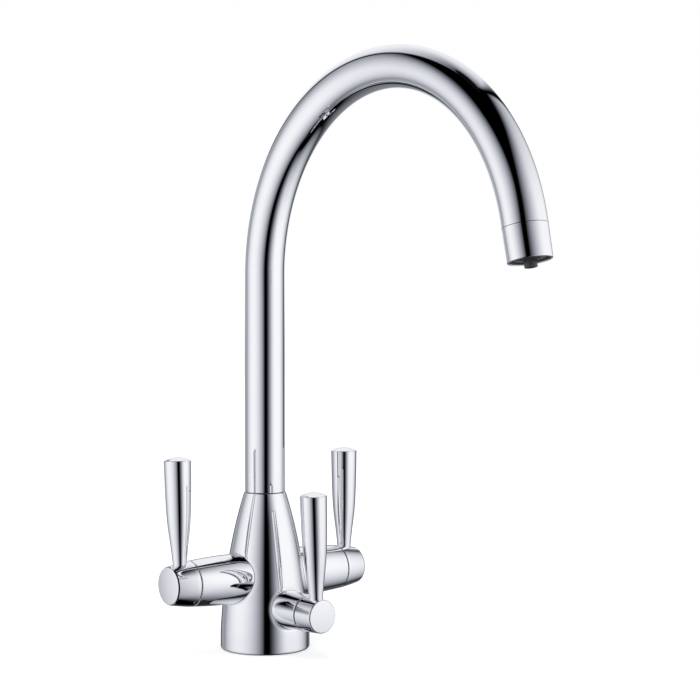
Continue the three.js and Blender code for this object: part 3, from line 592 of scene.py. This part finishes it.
# Filtered water spigot: a dark moulded tube that stands out of the middle of the mesh, so that
# filtered water never meets the mixed water. Its tail fits the inner tube.
spigot_radius, spigot_bore = 0.0035, 0.0022
tail_radius, tail_bore = 0.0018, 0.0011
tail_start, shoulder, bore_end, spigot_end = 0.0003, 0.0045, 0.0087, 0.0256
spigot = lathe([
    (tail_bore, tail_start), (tail_radius, tail_start), (tail_radius, shoulder), (spigot_radius, shoulder),
    (spigot_radius, spigot_end), (spigot_bore, spigot_end), (spigot_bore, bore_end), (tail_bore, bore_end),
    (tail_bore, tail_start),
], 96)
round_rings(spigot, [(spigot_radius, spigot_end, 0.0004), (spigot_bore, spigot_end, 0.0003)], 4)
bmesh.ops.transform(spigot, matrix=nozzle_place, verts=spigot.verts)
grey_plastic = moulded("grey_plastic", (0.04, 0.04, 0.045), (0.07, 0.07, 0.075), 0.22, 1.0, 4e-6)
set_down(spigot, "filtered_spigot", grey_plastic, "spout", ["filtered_water_spigot"])

# Hubs: the turned and plated ends of the arms, in line with their cones. Each turns with its
# lever on the valve's spindle, over a thin dark glide ring in the seam.
hub_wall, web_half, screw_hole = 0.002, 0.0031, 0.0028
hub_step, hub_steps = 0.0004, 34
cap_dome, cap_fit, plug_clearance, plug_wall = 0.0006, 0.00003, 0.0003, 0.0012
lever_length, lever_root = 0.0636, 0.0016
foot_of_lever, end_of_lever = 0.0042, 0.0082
waist_radius, waist_rise = 0.0066, 0.0258
flare_radius, flare_drop = 0.0075, 0.0486
lever_edge, lever_dome = 0.0004, 0.0021
ring_half, ring_inset = 0.00012, 0.0011
for name, arm in arms.items():
    body_name = f"{name}_handle"
    place = along(arm["direction"], arm["height"]) @ Matrix.Rotation(arm["lean"], 4, "Z")
    seam = arm["reach"] - arm["hub"]
    start = seam + arm["gap"] / 2
    cap_seat = arm["reach"] - cap_dome - arm["cap_rim"]
    lever_at = arm["reach"] - arm["lever_back"]
    web_back, web_front = lever_at - web_half, lever_at + web_half
    start_radius = arm_radius(arm, start)
    seat_radius = arm_radius(arm, cap_seat)
    inside_radius = arm["end_radius"] - hub_wall
    hub = lathe([
        (arm["bore"], start),
        *[(arm_radius(arm, start + step * hub_step), start + step * hub_step) for step in range(hub_steps)],
        (seat_radius, cap_seat - cap_fit), (inside_radius, cap_seat - cap_fit), (inside_radius, web_front),
        (screw_hole, web_front), (screw_hole, web_back), (arm["bore"], web_back), (arm["bore"], start),
    ], arm_steps)
    round_rings(hub, [(start_radius, start, 0.00025), (arm["bore"], start, 0.0002)], 3)
    bmesh.ops.transform(hub, matrix=place, verts=hub.verts)
    set_down(hub, f"{name}_arm_end", chrome, body_name, [f"{name}_hub"])

    # End cap: a plated disc that plugs into the hub and hides its screw, with a short rim that
    # slopes on the side arms, a small rounded edge and a bare, very slightly domed face.
    plug = inside_radius - plug_clearance
    plug_back = web_front + plug_clearance
    face_radius = min(arm["end_radius"], seat_radius - arm["rim_slope"] * arm["cap_rim"])
    dome = [
        (face_radius * share, arm["reach"] - cap_dome * share ** 2)
        for share in (1, 0.93, 0.86, 0.78, 0.7, 0.6, 0.5, 0.4, 0.3, 0.2, 0.1, 0)
    ]
    cap = lathe([
        (0, cap_seat), (plug - plug_wall, cap_seat), (plug - plug_wall, plug_back), (plug, plug_back),
        (plug, cap_seat), (seat_radius, cap_seat), *dome,
    ], arm_steps)
    round_rings(cap, [(*dome[0], arm["cap_edge"])], 6)
    bmesh.ops.transform(cap, matrix=place, verts=cap.verts)
    set_down(cap, f"{name}_cap", chrome, body_name, [f"{name}_end_cap"])

    # Lever: a turned brass rod, plated, slim where it leaves the hub and swelling to a blunt
    # end with a low crown. Its root is pressed into the hub.
    surface = arm_radius(arm, lever_at)
    top = surface + lever_length
    shoulder = top - lever_dome
    swell = [
        (point.x, point.z) for point in interpolate_bezier(
            Vector((foot_of_lever, 0, surface)), Vector((waist_radius, 0, surface + waist_rise)),
            Vector((flare_radius, 0, top - flare_drop)), Vector((end_of_lever, 0, top)), 40,
        )
    ]
    swell[-1] = (end_of_lever, shoulder)
    crown = [
        (end_of_lever * share, top - lever_dome * share ** 2) for share in (0.8, 0.7, 0.55, 0.4, 0.25, 0.1, 0)
    ]
    lever = lathe([(0, surface - lever_root), (foot_of_lever, surface - lever_root), *swell, *crown], 96)
    round_rings(lever, [(end_of_lever, shoulder, lever_edge)], 8)
    upright = Matrix.Translation((0, 0, lever_at)) @ Matrix.Rotation(-math.pi / 2, 4, "X")
    bmesh.ops.transform(lever, matrix=place @ upright, verts=lever.verts)
    set_down(lever, f"{name}_lever_rod", chrome, body_name, [f"{name}_lever"])

    # Glide ring: dark nylon in the seam between arm and hub, a millimetre below the surface,
    # where it shows as the seam's dark line.
    outer, low, top = start_radius - ring_inset, seam - ring_half, seam + ring_half
    glide = lathe([(arm["bore"], low), (outer, low), (outer, top), (arm["bore"], top), (arm["bore"], low)],
                  arm_steps)
    bmesh.ops.transform(glide, matrix=along(arm["direction"], arm["height"]), verts=glide.verts)
    set_down(glide, f"{name}_seam_ring", dark_plastic, "tap_body", [f"{name}_glide_ring"])

# Base seal: a rubber ring that sits in the groove of the foot and keeps water off the worktop.
# It stands out of the groove a little, and the fixing nut squeezes it flat.
seal_inner, seal_outer, seal_height = 0.0224, 0.025, 0.00135
rubber = moulded("black_rubber", (0.012, 0.012, 0.013), (0.03, 0.03, 0.03), 0.7, 1.4, 4e-5)
seal = lathe([
    (seal_inner, 0), (seal_outer, 0), (seal_outer, seal_height), (seal_inner, seal_height), (seal_inner, 0),
])
round_rings(seal, [(seal_inner, 0, 0.0002), (seal_outer, 0, 0.0002)], 2)
set_down(seal, "base_seal", rubber, "tap_body", ["base_gasket"])

# Fixing stud: an M8 steel rod with a rolled thread, screwed up into the body and hanging
# through the hole in the worktop.
stud_foot, stud_top = -0.0602, 0.0138
thread_root, thread_crest, thread_pitch = 0.0033, 0.0038, 0.00125
core_radius, core_tip, core_bevel = 0.00335, 0.0031, 0.0004
thread_start, turn_steps = 0.0002, 24
turns = round((stud_top - stud_foot - 0.0005) / thread_pitch) - 1
stud = bmesh.new()
flank = [
    (thread_root, 0), (thread_crest, 0.0005), (thread_crest, 0.00066), (thread_root, 0.00116),
    (thread_root, thread_pitch),
]
points = [stud.verts.new((radius, 0, stud_foot + thread_start + rise)) for radius, rise in flank]
for pair in zip(points, points[1:]):
    stud.edges.new(pair)
bmesh.ops.spin(
    stud, geom=stud.verts[:] + stud.edges[:], cent=(0, 0, 0), axis=(0, 0, 1),
    dvec=(0, 0, thread_pitch / turn_steps), angle=2 * math.pi * turns, steps=turn_steps * turns,
    use_merge=False, use_normal_flip=False, use_duplicate=False,
)
core = lathe([
    (0, stud_foot), (core_tip, stud_foot), (core_radius, stud_foot + core_bevel),
    (core_radius, stud_top - core_bevel), (core_tip, stud_top), (0, stud_top),
], 48)
join_in(stud, core)
bmesh.ops.remove_doubles(stud, verts=stud.verts, dist=1e-6)
bmesh.ops.translate(stud, vec=(0, stud_offset, 0), verts=stud.verts)
set_down(stud, "threaded_stud", steel, "tap_body", ["fixing_stud"])

# Horseshoe washers: a rubber one against the underside of the worktop and a pressed steel
# one below it. The open side lets the hoses past, and the hole takes the stud.
rubber_top, rubber_thickness = -0.03815, 0.002
plate_top, plate_thickness = -0.0403, 0.003
clamp_radius, clamp_slot, clamp_slot_centre = 0.024, 0.013, -0.0075
prong = -math.sqrt(clamp_radius ** 2 - clamp_slot ** 2)


def horseshoe(top, thickness, edge):
    """A plate with a round outline, a slot open to the front and a hole for the stud."""
    bm = bmesh.new()
    tip = bm.verts.new((clamp_slot, prong, top))
    turn = math.pi + 2 * math.atan2(-prong, clamp_slot)
    bmesh.ops.spin(bm, geom=[tip], cent=(0, 0, top), axis=(0, 0, 1), dvec=(0, 0, 0), angle=turn, steps=96,
                   use_merge=False, use_normal_flip=False, use_duplicate=False)
    inner = bm.verts.new((-clamp_slot, clamp_slot_centre, top))
    bmesh.ops.spin(bm, geom=[inner], cent=(0, clamp_slot_centre, top), axis=(0, 0, 1), dvec=(0, 0, 0),
                   angle=-math.pi, steps=36, use_merge=False, use_normal_flip=False, use_duplicate=False)
    ends = [vert for vert in bm.verts if len(vert.link_edges) == 1]
    for sign in (-1, 1):
        bm.edges.new(sorted((vert for vert in ends if vert.co.x * sign > 0), key=lambda vert: vert.co.y))
    bmesh.ops.create_circle(bm, cap_ends=False, segments=36, radius=stud_bore,
                            matrix=Matrix.Translation((0, stud_offset, top)))
    bmesh.ops.triangle_fill(bm, use_beauty=True, use_dissolve=False, edges=bm.edges[:])
    upper = bm.faces[:]
    made = bmesh.ops.extrude_face_region(bm, geom=upper, use_keep_orig=True)["geom"]
    lower = [part for part in made if isinstance(part, bmesh.types.BMVert)]
    bmesh.ops.translate(bm, vec=(0, 0, -thickness), verts=lower)
    bmesh.ops.recalc_face_normals(bm, faces=bm.faces)
    rims = [e for e in bm.edges if len(e.link_faces) == 2 and e.calc_face_angle() > math.radians(60)
            and abs(e.verts[0].co.z - e.verts[1].co.z) < 1e-7]
    bmesh.ops.bevel(bm, geom=rims, offset=edge, offset_type="OFFSET", segments=3, profile=0.5,
                    affect="EDGES", clamp_overlap=False, material=-1)
    return bm


rubber_plate = horseshoe(rubber_top, rubber_thickness, 0.0003)
set_down(rubber_plate, "rubber_horseshoe", rubber, "tap_body", ["deck_washer_rubber"])
steel_plate = horseshoe(plate_top, plate_thickness, 0.0004)
set_down(steel_plate, "steel_horseshoe", steel, "tap_body", ["deck_clamp_plate"])

# Fixing nut: a long brass hexagon nut with bevelled corners, run up the stud to clamp the tap
# to the worktop.
brass = finished("turned_brass", (0.62, 0.44, 0.19), (0.74, 0.56, 0.27), 0.2, 0.36, 1.3, 3e-6)
nut_flats, nut_top, nut_height = 0.013, -0.04345, 0.01
nut = bmesh.new()
bmesh.ops.create_circle(nut, cap_ends=False, segments=6, radius=nut_flats / 2 / math.cos(math.pi / 6),
                        matrix=Matrix.Rotation(math.radians(30), 4, "Z"))
bmesh.ops.create_circle(nut, cap_ends=False, segments=36, radius=stud_bore)
bmesh.ops.triangle_fill(nut, use_beauty=True, use_dissolve=False, edges=nut.edges[:])
made = bmesh.ops.extrude_face_region(nut, geom=nut.faces[:], use_keep_orig=True)["geom"]
bmesh.ops.translate(nut, vec=(0, 0, nut_height), verts=[v for v in made if isinstance(v, bmesh.types.BMVert)])
bmesh.ops.recalc_face_normals(nut, faces=nut.faces)
rims = [e for e in nut.edges if len(e.link_faces) == 2 and e.calc_face_angle() > math.radians(30)]
bmesh.ops.bevel(nut, geom=rims, offset=0.0004, offset_type="OFFSET", segments=3, profile=0.5,
                affect="EDGES", clamp_overlap=False, material=-1)
bmesh.ops.translate(nut, vec=(0, stud_offset, nut_top - nut_height), verts=nut.verts)
set_down(nut, "brass_nut", brass, "tap_body", ["fixing_nut"])

# Inside the tap: the valves' brass headworks and spindles, their ceramic discs and rubber
# seats, the stem with its O-rings, and the filtered water's own tube. They stay as in the frame.
ceramic = moulded("white_ceramic", (0.78, 0.77, 0.74), (0.86, 0.85, 0.82), 0.25, 1.2, 2e-6)
white_plastic = moulded("white_plastic", (0.72, 0.72, 0.70), (0.80, 0.80, 0.78), 0.42, 1.0, 1e-5)
inside = {"spout_stem": brass, "stem_o_ring_lower": rubber, "stem_o_ring_upper": rubber,
          "spout_bearing_ring": white_plastic, "filtered_water_tube": white_plastic,
          "inner_tube_seal": rubber, "inner_tube_guide": white_plastic}
for name in arms:
    inside |= {f"{name}_cartridge_body": brass, f"{name}_spindle": brass, f"{name}_hub_screw": steel,
               f"{name}_seat_seal": rubber, f"{name}_fixed_disc": ceramic, f"{name}_moving_disc": ceramic}
for name, material in inside.items():
    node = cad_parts[name]
    node.data.materials.clear()
    node.data.materials.append(material)

# Worktop: a plain pale ground that reads as white to the camera and keeps the tap's shadow.
# Polished metal doesn't see it.
ground = bmesh.new()
bmesh.ops.create_grid(ground, x_segments=1, y_segments=1, size=4)
ground_mesh = bpy.data.meshes.new("worktop")
ground.to_mesh(ground_mesh)
ground.free()
worktop = bpy.data.objects.new("worktop", ground_mesh)
scene.collection.objects.link(worktop)
worktop.visible_glossy = False
pale = bpy.data.materials.new("pale_worktop")
pale.use_nodes = True
tree = pale.node_tree
node, link = tree.nodes.new, tree.links.new
shader = tree.nodes["Principled BSDF"]
shader.inputs["Base Color"].default_value = (0.8, 0.8, 0.8, 1)
shader.inputs["Roughness"].default_value = 0.9
shader.inputs["Specular IOR Level"].default_value = 0
shader.inputs["Emission Strength"].default_value = 1
path = node("ShaderNodeLightPath")
lift = node("ShaderNodeMix")
lift.data_type = "RGBA"
lift.inputs["A"].default_value = (0, 0, 0, 1)
lift.inputs["B"].default_value = (0.5, 0.5, 0.5, 1)
link(path.outputs["Is Camera Ray"], lift.inputs["Factor"])
link(lift.outputs["Result"], shader.inputs["Emission Color"])
ground_mesh.materials.append(pale)

# Studio tent: two large soft panels, left and right, with a dark gap between them in front, and
# fainter ones and a white cloth behind. Only polished metal sees it, from half a metre away.
tent_radius = 0.5
tent_middle = 0.2
tent_height = 7
tent = bmesh.new()
bmesh.ops.create_circle(tent, cap_ends=False, segments=96, radius=tent_radius,
                        matrix=Matrix.Translation((0, 0, tent_middle - tent_height / 2)))
pull(tent, tent.edges[:], (0, 0, tent_height))
tent_mesh = bpy.data.meshes.new("studio_tent")
tent.to_mesh(tent_mesh)
tent.free()
studio_tent = bpy.data.objects.new("studio_tent", tent_mesh)
scene.collection.objects.link(studio_tent)
studio_tent.visible_camera = False
studio_tent.visible_diffuse = False
studio_tent.visible_shadow = False
studio_tent.visible_transmission = False


def soft_panel():
    """Brightness of one soft panel, full in its middle and fading away past its four sides."""
    sides = ("From", "To", "Low", "High")
    group, start, end = texture_group(
        "soft_panel",
        [(label, "NodeSocketFloat", 0.0) for label in (
            "Azimuth", "Elevation", "Strength", *sides, *(f"{side} Fade" for side in sides),
            *(f"{side} Haze" for side in sides))],
        [("Light", "NodeSocketFloat")],
    )
    source = start.outputs
    light = source["Strength"]
    for side, angle in zip(sides, ("Azimuth", "Azimuth", "Elevation", "Elevation")):
        ends = (source[side], source[angle]) if side in ("From", "Low") else (source[angle], source[side])
        share = maths(group, "DIVIDE", maths(group, "SUBTRACT", *ends), source[f"{side} Fade"])
        share = maths(group, "MINIMUM", maths(group, "MAXIMUM", share, 0.0), 1.0)
        left_over = maths(group, "SUBTRACT", 2.0, maths(group, "MULTIPLY", share, 2.0))
        haze = maths(group, "ADD", maths(group, "MULTIPLY", source[f"{side} Haze"], left_over), 1.0)
        loss = maths(group, "MULTIPLY", maths(group, "MULTIPLY", share, share), haze)
        light = maths(group, "MULTIPLY", light, maths(group, "SUBTRACT", 1.0, loss))
    group.links.new(light, end.inputs["Light"])
    return group


# Directions on the tent, in degrees: azimuth runs from the camera's side round to the right, and
# elevation up from the tent's middle. The tops of the two large panels lean away from the gap.
panel_group = soft_panel()
glow = bpy.data.materials.new("soft_panels")
glow.use_nodes = True
glow.cycles.emission_sampling = "NONE"
tree = glow.node_tree
tree.nodes.clear()
node, link = tree.nodes.new, tree.links.new
place = node("ShaderNodeTexCoord")
facing = node("ShaderNodeMapping")
facing.inputs["Location"].default_value = (0, 0, -tent_middle)
facing.inputs["Rotation"].default_value = (0, 0, camera_turn)
link(place.outputs["Object"], facing.inputs["Vector"])
split = node("ShaderNodeSeparateXYZ")
link(facing.outputs["Vector"], split.inputs["Vector"])
azimuth = maths(tree, "ARCTAN2", split.outputs["X"], maths(tree, "MULTIPLY", split.outputs["Y"], -1.0))
azimuth = maths(tree, "DEGREES", azimuth)
behind = maths(tree, "ABSOLUTE", azimuth)
round_back = maths(tree, "WRAP", azimuth, 360.0, 0.0)
elevation = maths(tree, "DEGREES", maths(tree, "ARCTAN2", split.outputs["Z"], tent_radius))
high = maths(tree, "MAXIMUM", maths(tree, "SUBTRACT", elevation, 25.0), 0.0)
high = maths(tree, "MULTIPLY", high, high)
left = maths(tree, "ADD", azimuth, maths(tree, "MULTIPLY", high, 0.045))
right = maths(tree, "SUBTRACT", azimuth, maths(tree, "MULTIPLY", high, 0.027))
crisp = maths(tree, "DIVIDE", maths(tree, "SUBTRACT", elevation, 6.0), 12.0)
crisp = maths(tree, "MINIMUM", maths(tree, "MAXIMUM", crisp, 0.0), 1.0)
right = maths(tree, "SUBTRACT", right, maths(tree, "MULTIPLY", crisp, 2.5))
right_haze = maths(tree, "SUBTRACT", 1.0, maths(tree, "MULTIPLY", crisp, 0.5))

# Panels: left, right, far left, far back and the cloth behind. Each has its own azimuth, its
# strength, and for its from, to, low and high sides the place, the width of its fade and haze.
lights = []
for turn, strength, *edges in (
    (left, 0.98, (-68, 68, 0), (-69, 70, 0), (-8, 80, 0), (5, 54, 0)),
    (right, 1.01, (63.2, 51.5, right_haze), (84.5, 57, 0), (-5, 68, 0), (6, 63, 0)),
    (azimuth, 0.42, (-147, 4, 0.5), (-132, 25, 0.5), (20, 120, 0), (25, 25, 0)),
    (round_back, 0.26, (158, 20, 0.5), (196, 6, 0.5), (5, 65, 0), (20, 10, 0.5)),
    (behind, 0.92, (170, 95, 0), (181, 1, 0), (8, 14, 0.5), (50, 34, 0)),
):
    panel = node("ShaderNodeGroup")
    panel.node_tree = panel_group
    link(turn, panel.inputs["Azimuth"])
    link(elevation, panel.inputs["Elevation"])
    panel.inputs["Strength"].default_value = strength
    for side, (place, fade, haze) in zip(("From", "To", "Low", "High"), edges):
        panel.inputs[side].default_value = place
        panel.inputs[f"{side} Fade"].default_value = fade
        if haze is right_haze:
            link(haze, panel.inputs[f"{side} Haze"])
        else:
            panel.inputs[f"{side} Haze"].default_value = haze
    lights.append(panel.outputs["Light"])


def slanted_edge(height, dark, bright):
    """The slanted side of the cloth behind, as a step in azimuth and elevation together."""
    step = node("ShaderNodeMapRange")
    step.interpolation_type = "SMOOTHSTEP"
    link(maths(tree, "ADD", behind, maths(tree, "MULTIPLY", height, 1.1)), step.inputs["Value"])
    step.inputs["From Min"].default_value = dark
    step.inputs["From Max"].default_value = bright
    return step.outputs["Result"]


front = maths(tree, "MAXIMUM", maths(tree, "MAXIMUM", lights[0], lights[1]), lights[2])
front = maths(tree, "MULTIPLY", front, slanted_edge(elevation, 173, 167))
back = maths(tree, "MULTIPLY", lights[4], slanted_edge(maths(tree, "MAXIMUM", elevation, 25.0), 176, 188))
light = maths(tree, "MAXIMUM", front, maths(tree, "MAXIMUM", lights[3], back))
cool = node("ShaderNodeMix")
cool.data_type = "RGBA"
cool.inputs["A"].default_value = (0.91, 0.965, 1.105, 1)
cool.inputs["B"].default_value = (0.99, 1.0, 1.01, 1)
link(light, cool.inputs["Factor"])
shine = node("ShaderNodeEmission")
link(cool.outputs["Result"], shine.inputs["Color"])
link(light, shine.inputs["Strength"])
out = node("ShaderNodeOutputMaterial")
link(shine.outputs["Emission"], out.inputs["Surface"])
tent_mesh.materials.append(glow)

# World and lamps: even white light from all round, with one soft lamp above for the shadow.
# The camera sees plain white, and polished metal sees the tent and the dark above and below it.
world = bpy.data.worlds.new("studio")
scene.world = world
world.use_nodes = True
tree = world.node_tree
node, link = tree.nodes.new, tree.links.new
sky = tree.nodes["Background"]
path = node("ShaderNodeLightPath")
even = node("ShaderNodeMix")
even.data_type = "RGBA"
even.inputs["A"].default_value = (0.75, 0.75, 0.75, 1)
even.inputs["B"].default_value = (1, 1, 1, 1)
link(path.outputs["Is Camera Ray"], even.inputs["Factor"])
gap = node("ShaderNodeMix")
gap.data_type = "RGBA"
gap.inputs["B"].default_value = (0.004, 0.004, 0.005, 1)
link(even.outputs["Result"], gap.inputs["A"])
link(path.outputs["Is Glossy Ray"], gap.inputs["Factor"])
link(gap.outputs["Result"], sky.inputs["Color"])
lamp = bpy.data.lights.new("soft_lamp", "AREA")
lamp.shape = "DISK"
lamp.size = 1.2
lamp.energy = 6
soft_lamp = bpy.data.objects.new("soft_lamp", lamp)
soft_lamp.location = (-0.5, -0.4, 1.5)
soft_lamp.rotation_euler = (Vector((0, 0, 0.15)) - soft_lamp.location).to_track_quat("-Z", "Y").to_euler()
soft_lamp.visible_glossy = False
scene.collection.objects.link(soft_lamp)

scene.view_settings.view_transform = "Standard"
